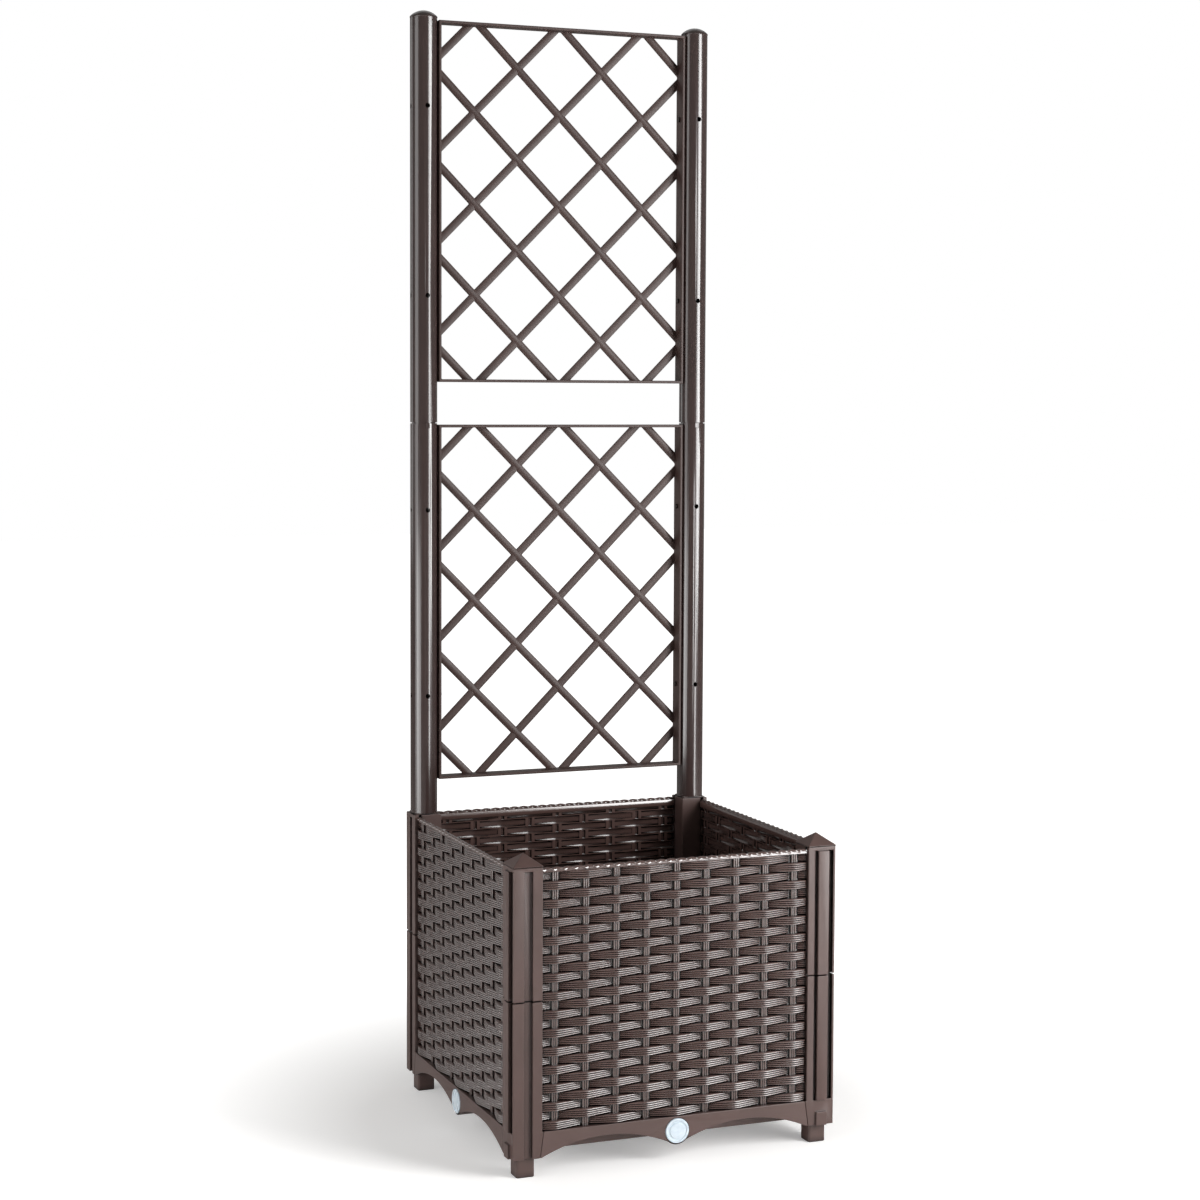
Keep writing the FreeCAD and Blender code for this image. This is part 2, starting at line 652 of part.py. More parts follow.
def lower_pole(name, side):
    """Pole with a notch for the sleeve's key in its top edge, at the front."""
    body = pole(name, side, "pole_foot", "lower_pole_length")
    notch = sketch_on(body, "XZ_Plane")
    half_notch = "key_width / 2 + key_gap"
    rectangle(notch, f"-({half_notch})", half_notch, "lower_pole_length - key_height - key_gap",
              "lower_pole_length")
    pocket(body, notch, "pole_diameter", backwards=True)
    return body


def upper_pole(name, side):
    return pole(name, side, "lower_pole_top", "upper_pole_length")


def pole_sleeve(name):
    """Sleeve inside the two poles at their seam, with a key that shows at the front."""
    body = new_piece(name, "-post_spacing / 2", "post_spacing / 2", "lower_pole_top")
    section = sketch_on(body, "XY_Plane")
    ring(section, "sleeve_radius", "sleeve_bore")
    pad(body, section, "sleeve_length", both_ways=True)
    key = sketch_on(body, "XZ_Plane", "sleeve_radius - sleeve_wall / 2")
    rectangle(key, "-key_width / 2", "key_width / 2", "-key_height", "0")
    pad(body, key, "pole_radius - sleeve_radius + sleeve_wall / 2")
    return body


def pole_seat(name):
    """Square plug in the back post, plate on its top and round spigot up into the pole."""
    body = new_piece(name, "-post_spacing / 2", "post_spacing / 2", "post_top")
    half = "seat_side / 2"
    plate = sketch_on(body, "XY_Plane")
    rectangle(plate, f"-{half}", half, f"-{half}", half)
    pad(body, plate, "seat_thickness")
    spigot = sketch_on(body, "XY_Plane", "seat_thickness")
    ring(spigot, "sleeve_radius", "sleeve_bore")
    pad(body, spigot, "seat_spigot_length")
    square_plug(body, "seat_plug_length")
    return body


def pole_cap(name):
    """Domed shell with a plug that goes down into the pole."""
    body = new_piece(name, "-post_spacing / 2", "post_spacing / 2", "upper_pole_top")
    profile = sketch_on(body, "XZ_Plane")
    outline(profile, [
        ("sleeve_bore", "-pole_cap_plug"), ("sleeve_radius", "-pole_cap_plug"), ("sleeve_radius", "0"),
        ("cap_radius", "0"), ("cap_radius", "pole_cap_rim", "dome_radius"),
        ("0", "pole_cap_rim + pole_cap_rise"), ("0", "pole_cap_rim"), ("sleeve_bore", "pole_cap_rim"),
    ])
    revolve(body, profile, "V_Axis")
    return body


# ---------------------------------------------------------------- lattice frames
# A lattice's own origin is the middle of its lower edge, between the two poles.

def trellis(name):
    body = new_piece(name, "0", "post_spacing / 2", "lower_pole_top - trellis_drop - trellis_height")
    slat = sketch_on(body, "XZ_Plane", "-frame_depth / 2")
    start = "-slat_steps * slat_spacing"
    low = f"{start} - trellis_height / 2"
    high = f"{start} + trellis_height / 2"
    outline(slat, [
        (f"{low} - slat_skew", "0"), (f"{low} + slat_skew", "0"),
        (f"{high} + slat_skew", "trellis_height"), (f"{high} - slat_skew", "trellis_height"),
    ])
    first_slat = pad(body, slat, "slat_thickness")
    row_and_mirror(body, [first_slat], "X_Axis", "slat_spacing", "2 * slat_steps + 1")
    trim = sketch_on(body, "XZ_Plane")
    beyond = "trellis_half + trellis_height"
    middle_line = "frame_inside + frame_wall / 2"
    rectangle(trim, f"-({beyond})", beyond, "-frame_wall", "trellis_height + frame_wall")
    rectangle(trim, f"-({middle_line})", middle_line, "frame_wall / 2", "trellis_height - frame_wall / 2")
    pocket(body, trim, "2 * frame_depth", both_ways=True)
    frame = sketch_on(body, "XZ_Plane")
    rectangle(frame, "-trellis_half", "trellis_half", "0", "trellis_height")
    rectangle(frame, "-frame_inside", "frame_inside", "frame_wall", "trellis_height - frame_wall")
    pad(body, frame, "frame_depth", both_ways=True)
    holes = sketch_on(body, "YZ_Plane")
    upper_hole = "trellis_height + trellis_drop - hole_drop"
    circle(holes, "0", upper_hole, "screw_hole / 2")
    circle(holes, "0", f"{upper_hole} - hole_spacing", "screw_hole / 2")
    pocket(body, holes, "3 * trellis_half", both_ways=True)
    return body


def trellis_screws(name):
    """Four screws through the frame's side plates into the poles."""
    body = new_piece(name, "0", "post_spacing / 2", "lower_pole_top - hole_drop - hole_spacing")
    profile = sketch_on(body, "XZ_Plane")
    outline(profile, [
        ("frame_inside - screw_head_height", "0"), ("frame_inside + screw_shank_length", "0"),
        ("frame_inside + screw_shank_length", "screw_shank_diameter / 2"),
        ("frame_inside", "screw_shank_diameter / 2"), ("frame_inside", "screw_head_diameter / 2"),
        ("frame_inside - screw_head_height", "screw_head_diameter / 2"),
    ])
    screw = revolve(body, profile, "H_Axis")
    row_and_mirror(body, [screw], "Z_Axis", "hole_spacing", "2")
    return body


# ---------------------------------------------------------------- the planter

def all_round(make, kind, places, x, y, z="0"):
    """One piece in the first place, and the same one turned by quarters in the others."""
    original = make(f"{kind}_{places[0]}")
    for quarter, place in enumerate(places[1:], start=1):
        repeat(original, f"{kind}_{place}", x, y, z, quarter)


def build_planter():
    base_tray()
    all_round(lower_post, "lower_post", CORNERS, "-outer_face", "-outer_face")
    all_round(upper_post, "upper_post", CORNERS, "-outer_face", "-outer_face")
    all_round(post_cap, "post_cap", CORNERS[:2], "-post_spacing / 2", "-post_spacing / 2", "post_top")
    all_round(wall_panel, "wall_panel", SIDES, "0", "plate_setback - outer_face", "apron_top")
    all_round(drain_plug, "drain_plug", SIDES, "0", "-outer_face", "plug_height")
    for make, height in ((pole_seat, "post_top"), (pole_sleeve, "lower_pole_top"),
                         (pole_cap, "upper_pole_top")):
        original = make(f"{make.__name__}_left")
        repeat(original, f"{make.__name__}_right", "post_spacing / 2", "post_spacing / 2", height)
    for place, side in (("left", -1), ("right", 1)):
        lower_pole(f"lower_pole_{place}", side)
        upper_pole(f"upper_pole_{place}", side)
    for make, drop in ((trellis, "trellis_drop + trellis_height"),
                       (trellis_screws, "hole_drop + hole_spacing")):
        original = make(f"lower_{make.__name__}")
        repeat(original, f"upper_{make.__name__}", "0", "post_spacing / 2", f"upper_pole_top - ({drop})")


build_planter()
doc.recompute()

for item in doc.Objects:
    if "Invalid" in item.State or "Error" in item.State:
        raise RuntimeError(f"{item.Label} ({item.Name}) could not be computed: {item.State}")

os.makedirs("parts", exist_ok=True)
for piece in doc.findObjects("PartDesign::Body"):
    if piece.Shape.isNull() or not piece.Shape.isValid():
        raise RuntimeError(f"{piece.Label} has no valid shape")
    piece.Shape.exportStep(f"parts/{piece.Label}.step")
    box = piece.Shape.BoundBox
    print(f"{piece.Label:24s} {len(piece.Shape.Solids)} solid(s) {piece.Shape.Volume:9.0f} mm3  "
          f"x {box.XMin:7.1f} {box.XMax:7.1f}  y {box.YMin:7.1f} {box.YMax:7.1f}  "
          f"z {box.ZMin:7.1f} {box.ZMax:7.1f}")
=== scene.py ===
# %% [markdown]
# # A planter with trellis, dressed in Blender
# The construction was drawn in CAD and packed. This lesson loads it as a fixed frame and gives it its
# looks: a photographer's light, the real woven relief of the four wall panels, softened edges on every
# moulding, and one plastic finish for each family of parts. Everything is in metres and in the frame of the
# CAD, so each piece is made where it stands.

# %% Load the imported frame
import math

import bmesh
import bpy
from mathutils import Matrix, Quaternion, Vector


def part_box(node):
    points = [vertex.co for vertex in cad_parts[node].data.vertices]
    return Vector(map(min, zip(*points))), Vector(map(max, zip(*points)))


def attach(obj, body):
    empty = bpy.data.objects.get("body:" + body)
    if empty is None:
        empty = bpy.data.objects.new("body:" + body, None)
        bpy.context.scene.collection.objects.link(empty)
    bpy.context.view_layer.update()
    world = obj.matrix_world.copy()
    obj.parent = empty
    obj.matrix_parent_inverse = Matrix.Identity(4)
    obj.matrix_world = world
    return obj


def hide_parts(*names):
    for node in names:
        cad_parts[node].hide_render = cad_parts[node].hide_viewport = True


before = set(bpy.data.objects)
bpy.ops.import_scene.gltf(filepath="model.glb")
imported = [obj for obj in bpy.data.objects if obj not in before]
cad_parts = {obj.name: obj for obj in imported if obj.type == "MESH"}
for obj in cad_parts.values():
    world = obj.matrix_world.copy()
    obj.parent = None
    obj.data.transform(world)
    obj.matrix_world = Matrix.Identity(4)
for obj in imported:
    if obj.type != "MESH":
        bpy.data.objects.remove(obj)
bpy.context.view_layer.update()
MM = 0.001
scene = bpy.context.scene

# %% [markdown]
# ## The camera
# The photograph was taken from the front left, a little above the rim of the box, with a long lens. The
# upright lines stay almost parallel in it, so the camera looks down by less than four degrees and a small
# lens shift does the rest. A larger shift would push the object out of the picture in the other views.

# %% The camera at the photograph's angle
turned_right = math.radians(21.807)
looking_down = math.radians(3.703)
rolled = math.radians(0.249)
sight = Vector((
    math.sin(turned_right) * math.cos(looking_down),
    math.cos(turned_right) * math.cos(looking_down),
    -math.sin(looking_down),
))
camera_data = bpy.data.cameras.new("photograph_camera")
camera_data.lens = 71.915
camera_data.sensor_width = 36.0
camera_data.shift_y = -0.04
camera = bpy.data.objects.new("photograph_camera", camera_data)
scene.collection.objects.link(camera)
camera.location = (-1.1014, -2.7060, 0.8856)
camera.rotation_mode = "QUATERNION"
camera.rotation_quaternion = sight.to_track_quat("-Z", "Y") @ Quaternion((0, 0, 1), rolled)
scene.camera = camera
print("camera", [round(x, 3) for x in camera.location], "lens", camera_data.lens)

# %% [markdown]
# ## Colours and nodes
# Paint charts and photo editors give colours in sRGB, while Blender's shaders count light, which is linear.
# One function turns a hex colour into linear numbers. A second one adds a shader node, sets its values and
# links its inputs, so that every material below reads as a short list of steps. A third one hands over the
# empty node tree of a material or of the world.

# %% Colour and node helpers
def linear(hex_colour):
    """The linear RGBA of an sRGB hex colour such as #5a4c48."""
    channels = [int(hex_colour[i:i + 2], 16) / 255 for i in (1, 3, 5)]
    light = [c / 12.92 if c <= 0.04045 else ((c + 0.055) / 1.055) ** 2.4 for c in channels]
    return (*light, 1.0)


def add_node(tree, kind, settings=None, values=None, links=None):
    """Adds a node: settings are its properties, values its sockets, links socket -> (node, output)."""
    node = tree.nodes.new(kind)
    for name, value in (settings or {}).items():
        setattr(node, name, value)
    for name, value in (values or {}).items():
        node.inputs[name].default_value = value
    for name, (source, output) in (links or {}).items():
        tree.links.new(source.outputs[output], node.inputs[name])
    return node


def empty_tree(owner):
    """The node tree of a material or of the world, cleared."""
    owner.use_nodes = True
    owner.node_tree.nodes.clear()
    return owner.node_tree


print("brown plastic in linear light:", [round(x, 3) for x in linear("#5a4c48")])

# %% [markdown]
# ## The studio
# Brown plastic shows its shape by what it mirrors. To the right of the camera stand a tall bright softbox,
# which draws the sharp line down each round pole, and a lower one that lights the right side of every float
# of the weave. Weaker ones stand to the left, behind the left wall and above, and the world adds an even
# fill. The backdrop is white for what looks straight at it or through a clear piece. Glossy plastic mirrors
# it too, but only behind the object, as in a real studio, where the room on the photographer's side is
# dark. Each lamp stands at an angle that counts from the front, positive to the right, and is aimed at a
# height of the object. Distances, heights and sizes are in metres.

# %% World, lamps and colour settings
scene.view_settings.view_transform = "Standard"
world = bpy.data.worlds.new("studio_world")
scene.world = world
sky = empty_tree(world)
ray = add_node(sky, "ShaderNodeLightPath")
looks_straight = add_node(
    sky, "ShaderNodeMath", {"operation": "MAXIMUM"},
    links={0: (ray, "Is Camera Ray"), 1: (ray, "Is Transmission Ray")})
direction = add_node(sky, "ShaderNodeTexCoord")
parts = add_node(sky, "ShaderNodeSeparateXYZ", links={"Vector": (direction, "Generated")})
backdrop_side = add_node(
    sky, "ShaderNodeMapRange", {"interpolation_type": "SMOOTHSTEP"},
    {"From Min": 0.1, "From Max": 1.0, "To Min": 0.04, "To Max": 0.17}, {"Value": (parts, "Y")})
mirror_share = add_node(
    sky, "ShaderNodeMath", {"operation": "MULTIPLY"},
    links={0: (ray, "Is Glossy Ray"), 1: (backdrop_side, "Result")})
white_share = add_node(
    sky, "ShaderNodeMath", {"operation": "MAXIMUM"},
    links={0: (looks_straight, 0), 1: (mirror_share, 0)})
fill_light = add_node(sky, "ShaderNodeBackground", values={"Color": linear("#f4f2ee"), "Strength": 0.2})
white_wall = add_node(sky, "ShaderNodeBackground", values={"Color": linear("#ffffff"), "Strength": 1.0})
either = add_node(
    sky, "ShaderNodeMixShader", links={0: (white_share, 0), 1: (fill_light, 0), 2: (white_wall, 0)})
add_node(sky, "ShaderNodeOutputWorld", links={"Surface": (either, 0)})


def softbox(name, angle, distance, height, aim, width, length, watts):
    """A rectangular area lamp that the camera doesn't see."""
    lamp_data = bpy.data.lights.new(name, "AREA")
    lamp_data.shape = "RECTANGLE"
    lamp_data.size = width
    lamp_data.size_y = length
    lamp_data.energy = watts
    lamp = bpy.data.objects.new(name, lamp_data)
    scene.collection.objects.link(lamp)
    direction = Vector((math.sin(math.radians(angle)), -math.cos(math.radians(angle)), 0))
    lamp.location = direction * distance + Vector((0, 0, height))
    lamp.rotation_mode = "QUATERNION"
    lamp.rotation_quaternion = (Vector((0, 0, aim)) - lamp.location).to_track_quat("-Z", "Y")
    lamp.visible_camera = False
    return lamp


softbox("line_softbox", angle=30, distance=1.8, height=0.95, aim=0.9, width=0.36, length=1.9, watts=20)
softbox("weave_softbox", angle=43, distance=2.0, height=1.05, aim=0.3, width=0.5, length=1.4, watts=31)
softbox("left_softbox", angle=-85, distance=2.2, height=1.0, aim=0.7, width=1.1, length=2.0, watts=15)
softbox("low_left_softbox", angle=-70, distance=1.7, height=0.3, aim=0.2, width=1.1, length=0.6, watts=8)
softbox("back_left_softbox", angle=-135, distance=2.2, height=1.1, aim=0.3, width=0.8, length=1.2, watts=4)
softbox("top_softbox", angle=165, distance=1.2, height=2.3, aim=0.4, width=1.4, length=0.8, watts=1.5)

# %% [markdown]
# ### The floor
# The floor is matt white paper that takes the object's soft shadow. For the camera alone it also glows,
# more with the distance from the object, so that it melts into the white backdrop without a horizon.

# %% The floor
floor_mesh = bpy.data.meshes.new("studio_floor")
floor_bm = bmesh.new()
bmesh.ops.create_grid(floor_bm, x_segments=1, y_segments=1, size=12.0)
floor_bm.to_mesh(floor_mesh)
floor_bm.free()
floor = bpy.data.objects.new("studio_floor", floor_mesh)
scene.collection.objects.link(floor)
floor_paint = bpy.data.materials.new("matt_white_studio_floor")
paint = empty_tree(floor_paint)
ray = add_node(paint, "ShaderNodeLightPath")
seen = add_node(
    paint, "ShaderNodeMath", {"operation": "MAXIMUM"},
    links={0: (ray, "Is Camera Ray"), 1: (ray, "Is Transmission Ray")})
spot = add_node(paint, "ShaderNodeTexCoord")
away = add_node(paint, "ShaderNodeVectorMath", {"operation": "LENGTH"}, links={0: (spot, "Object")})
whiter = add_node(
    paint, "ShaderNodeMapRange", values={"From Min": 0.3, "From Max": 0.75, "To Min": 0.3, "To Max": 1.0},
    links={"Value": (away, "Value")})
glow_level = add_node(
    paint, "ShaderNodeMath", {"operation": "MULTIPLY"}, links={0: (seen, 0), 1: (whiter, "Result")})
glow = add_node(
    paint, "ShaderNodeEmission", values={"Color": linear("#ffffff")}, links={"Strength": (glow_level, 0)})
matt = add_node(paint, "ShaderNodeBsdfDiffuse", values={"Color": linear("#f8f7f6")})
both = add_node(paint, "ShaderNodeAddShader", links={0: (matt, 0), 1: (glow, 0)})
add_node(paint, "ShaderNodeOutputMaterial", links={"Surface": (both, 0)})
floor_mesh.materials.append(floor_paint)
print("floor", floor.name)

# %% [markdown]
# ## The brown plastic
# Every brown part is polypropylene, injection moulded in a deep brown. Moulding leaves a smooth skin with a
# very fine grain from the steel mould, faint clouds where the melt flowed, and a soft satin gloss. The same
# recipe serves all of them: a base colour with slow clouds, a roughness that wanders a little and a grain
# as bump. Where a surface lies deep in a groove or close to another part, an ambient occlusion node finds
# that place by the real shape around it and darkens the colour there. This is painted shade, standing in
# for light that doesn't reach. What changes from part to part is the colour, the gloss, the size of the
# grain and the reach of the painted shade.

# %% A moulded plastic
def moulded_plastic(name, body_colour, cloud_colour, roughness, grain_mm, grain_height_mm, cloud_mm,
                    painted_shade_reach_mm=None, gloss=0.5, polish=0.0):
    """Satin moulded plastic with melt clouds and a mould grain, both measured in millimetres, and painted
    shade in grooves.
    """
    material = bpy.data.materials.new(name)
    tree = empty_tree(material)
    place = add_node(tree, "ShaderNodeTexCoord")
    clouds = add_node(
        tree, "ShaderNodeTexNoise", values={"Scale": 1 / (cloud_mm * MM), "Detail": 3.0, "Roughness": 0.55},
        links={"Vector": (place, "Object")})
    colour = add_node(tree, "ShaderNodeValToRGB", links={"Fac": (clouds, "Fac")})
    colour.color_ramp.elements[0].position = 0.3
    colour.color_ramp.elements[0].color = linear(cloud_colour)
    colour.color_ramp.elements[1].position = 0.7
    colour.color_ramp.elements[1].color = linear(body_colour)
    paint = (colour, "Color")
    # Painted shade: ambient occlusion darkens the base colour in grooves and next to other parts.
    if painted_shade_reach_mm:
        occlusion_for_painted_shade = add_node(
            tree, "ShaderNodeAmbientOcclusion", {"samples": 8}, {"Distance": painted_shade_reach_mm * MM})
        painted_shade_level = add_node(
            tree, "ShaderNodeMapRange",
            values={"From Min": 0.3, "From Max": 0.85, "To Min": 0.02, "To Max": 1.0},
            links={"Value": (occlusion_for_painted_shade, "AO")})
        colour_with_painted_shade = add_node(
            tree, "ShaderNodeVectorMath", {"operation": "SCALE"},
            links={"Vector": (colour, "Color"), "Scale": (painted_shade_level, "Result")})
        paint = (colour_with_painted_shade, "Vector")
    grain = add_node(
        tree, "ShaderNodeTexNoise", values={"Scale": 1 / (grain_mm * MM), "Detail": 2.0, "Roughness": 0.6},
        links={"Vector": (place, "Object")})
    skin = add_node(
        tree, "ShaderNodeMapRange",
        values={"From Min": 0.25, "From Max": 0.75, "To Min": roughness - 0.01, "To Max": roughness + 0.02},
        links={"Value": (grain, "Fac")})
    relief = add_node(
        tree, "ShaderNodeBump", values={"Strength": 1.0, "Distance": grain_height_mm * MM},
        links={"Height": (grain, "Fac")})
    shader = add_node(
        tree, "ShaderNodeBsdfPrincipled",
        values={"Metallic": 0.0, "IOR": 1.49, "Specular IOR Level": gloss, "Coat Weight": polish,
                "Coat Roughness": 0.12, "Coat IOR": 1.6},
        links={"Base Color": paint, "Roughness": (skin, "Result"), "Normal": (relief, "Normal")})
    add_node(tree, "ShaderNodeOutputMaterial", links={"Surface": (shader, 0)})
    return material


# The last number for the posts, the tray and the weave is how far their painted shade reaches, in mm.
# Posts, caps and tray: a fine mould grain keeps the flat faces satin and a little lighter than the poles.
post_finish = moulded_plastic(
    "satin_polypropylene_posts", "#56433f", "#4f3e3a", roughness=0.36, grain_mm=1.6, grain_height_mm=0.012,
    cloud_mm=45, painted_shade_reach_mm=12)
tray_finish = moulded_plastic(
    "satin_polypropylene_tray", "#5a4743", "#52413d", roughness=0.38, grain_mm=1.6, grain_height_mm=0.012,
    cloud_mm=60, painted_shade_reach_mm=8)
# The weave was polished in the mould, so that each rib of a float carries a bright line like real rattan.
weave_finish = moulded_plastic(
    "glossy_polypropylene_weave", "#58443f", "#503d39", roughness=0.2, grain_mm=2.0, grain_height_mm=0.002,
    cloud_mm=30, painted_shade_reach_mm=6, gloss=1.0, polish=0.7)
# The poles are drawn tubes: smoother and darker, with a long sharp highlight.
pole_finish = moulded_plastic(
    "drawn_plastic_tube", "#3b2e2c", "#362a28", roughness=0.17, grain_mm=2.0, grain_height_mm=0.003,
    cloud_mm=80, gloss=0.9)
# The lattice is dull and nearly without grain, because its slats are too thin to show one.
lattice_finish = moulded_plastic(
    "satin_polypropylene_trellis", "#43332f", "#3d2e2b", roughness=0.42, grain_mm=4.0, grain_height_mm=0.001,
    cloud_mm=50, gloss=0.3)
brown_finishes = (post_finish, tray_finish, weave_finish, pole_finish, lattice_finish)
print("finishes:", [finish.name for finish in brown_finishes])

# %% [markdown]
# ## The drain plugs and the screws
# The four drain plugs are the only parts that are not brown. They are low-density polyethylene, soft and
# cloudy: light goes in and comes back out pale blue grey. Subsurface scattering with a short radius gives
# that. The trellis screws are small blackened steel screws, so they are a dark metal with a worn satin
# skin.

# %% Plug and screw finishes
plug_finish = bpy.data.materials.new("cloudy_polyethylene_plug")
tree = empty_tree(plug_finish)
place = add_node(tree, "ShaderNodeTexCoord")
haze = add_node(
    tree, "ShaderNodeTexNoise", values={"Scale": 1 / (6 * MM), "Detail": 2.0},
    links={"Vector": (place, "Object")})
milk = add_node(tree, "ShaderNodeValToRGB", links={"Fac": (haze, "Fac")})
milk.color_ramp.elements[0].position = 0.3
milk.color_ramp.elements[0].color = linear("#c3d0da")
milk.color_ramp.elements[1].position = 0.7
milk.color_ramp.elements[1].color = linear("#d6e1e9")
soft_skin = add_node(
    tree, "ShaderNodeBump", values={"Strength": 0.6, "Distance": 0.05 * MM}, links={"Height": (haze, "Fac")})
shader = add_node(
    tree, "ShaderNodeBsdfPrincipled",
    values={"Roughness": 0.38, "IOR": 1.51, "Subsurface Weight": 0.35, "Subsurface Scale": 2 * MM,
            "Subsurface Radius": (0.8, 0.9, 1.0)},
    links={"Base Color": (milk, "Color"), "Normal": (soft_skin, "Normal")})
add_node(tree, "ShaderNodeOutputMaterial", links={"Surface": (shader, 0)})

screw_finish = bpy.data.materials.new("blackened_steel_screw")
tree = empty_tree(screw_finish)
place = add_node(tree, "ShaderNodeTexCoord")
wear = add_node(
    tree, "ShaderNodeTexNoise", values={"Scale": 1 / (1.5 * MM), "Detail": 4.0},
    links={"Vector": (place, "Object")})
skin = add_node(
    tree, "ShaderNodeMapRange", values={"From Min": 0.3, "From Max": 0.7, "To Min": 0.3, "To Max": 0.5},
    links={"Value": (wear, "Fac")})
black = add_node(tree, "ShaderNodeValToRGB", links={"Fac": (wear, "Fac")})
black.color_ramp.elements[0].color = linear("#3a3432")
black.color_ramp.elements[1].color = linear("#57504d")
shader = add_node(
    tree, "ShaderNodeBsdfPrincipled", values={"Metallic": 1.0},
    links={"Base Color": (black, "Color"), "Roughness": (skin, "Result")})
add_node(tree, "ShaderNodeOutputMaterial", links={"Surface": (shader, 0)})
print("finishes:", plug_finish.name, screw_finish.name)

# %% [markdown]
# ## Mouldings with soft edges
# No moulded edge is perfectly sharp: the steel mould has a small radius, and it is this radius that catches
# the light as a thin bright line. The CAD gives the shapes with crisp edges, as loose triangles, so each
# one is copied, its triangles are merged into clean faces, and a small bevel rounds what is sharp.

# %% A softened copy of a CAD part
edge_angle = 32


def finish_piece(name, bm, material, body, crease=edge_angle):
    """Turns a bmesh into a piece that rides on a body, smooth except along its creases."""
    mesh = bpy.data.meshes.new(name)
    bm.to_mesh(mesh)
    bm.free()
    mesh.polygons.foreach_set("use_smooth", [True] * len(mesh.polygons))
    mesh.set_sharp_from_angle(angle=math.radians(crease))
    mesh.materials.append(material)
    piece = bpy.data.objects.new(name, mesh)
    scene.collection.objects.link(piece)
    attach(piece, body)
    return piece


def softened(node, material, radius_mm, segments=2, body="planter", clamp=False, joint=None):
    """A merged copy of a CAD node with rounded edges, standing in for the node.

    A joint (height, shift) in mm draws the end at that height back, so that the parting line is a gap."""
    bm = bmesh.new()
    bm.from_mesh(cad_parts[node].data)
    bmesh.ops.remove_doubles(bm, verts=bm.verts, dist=1e-6)
    bmesh.ops.dissolve_limit(bm, angle_limit=math.radians(0.5), verts=bm.verts, edges=bm.edges)
    if joint:
        at_joint = [v for v in bm.verts if abs(v.co.z / MM - joint[0]) < 0.05]
        bmesh.ops.translate(bm, verts=at_joint, vec=(0, 0, joint[1] * MM))
    piece = finish_piece(node + "_moulding", bm, material, body)
    rounding = piece.modifiers.new("mould_radius", "BEVEL")
    rounding.width = radius_mm * MM
    rounding.segments = segments
    rounding.limit_method = "ANGLE"
    rounding.angle_limit = math.radians(edge_angle)
    rounding.use_clamp_overlap = clamp
    rounding.harden_normals = True
    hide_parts(node)
    print(piece.name, len(piece.data.polygons), "faces")
    return piece


corners = ("front_left", "front_right", "back_right", "back_left")
for corner in corners:
    post_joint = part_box("lower_post_" + corner)[1].z / MM
    softened("lower_post_" + corner, post_finish, 0.8, joint=(post_joint, -1.3))
    softened("upper_post_" + corner, post_finish, 0.8)
for side in ("front_left", "front_right"):
    softened("post_cap_" + side, post_finish, 0.8)
softened("base_tray", tray_finish, 0.9)

# %% [markdown]
# ## Poles, trellis and small parts
# The round poles are tubes with holes for the trellis screws. The trellis is a flat frame with crossing
# slats. They come from the CAD in the same way, with radii to suit: a thin one on the tube ends, a fuller
# one on slats.

# %% Poles, seats, sleeves, caps, trellis, screws and plugs
for side in ("left", "right"):
    pole_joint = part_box("lower_pole_" + side)[1].z / MM
    softened("lower_pole_" + side, pole_finish, 0.3, clamp=True, joint=(pole_joint, -0.6))
    softened("upper_pole_" + side, pole_finish, 0.3, clamp=True, joint=(pole_joint, 0.6))
    softened("pole_sleeve_" + side, pole_finish, 0.3, clamp=True)
    softened("pole_seat_" + side, post_finish, 0.5, clamp=True)
    softened("pole_cap_" + side, pole_finish, 0.8, 3, clamp=True)
for level in ("lower", "upper"):
    softened(level + "_trellis", lattice_finish, 0.9)
    softened(level + "_trellis_screws", screw_finish, 0.3, clamp=True)
for side in ("front", "right", "back", "left"):
    softened("drain_plug_" + side, plug_finish, 0.5, 3, "plug_" + side, clamp=True)

# %% [markdown]
# ### The crowns of the slats
# The front of each slat is slightly domed, and the slats that fall to the right pass over the others, so a
# small step shows at every crossing. A domed strip is laid on the front of each slat: its outline is drawn
# once, pulled out to a long bar, turned to 45 degrees, and the whole set is trimmed by four planes at the
# frame.

# %% Domed strips on the slats
slat_spacing = 115.0
frame_plate = 3.5
slat_thickness = 3.5
slats_each_side = 3
crown_half_width = 4.6
crown_sunk = 0.8
crown_strips = 8
bar_reach = 340


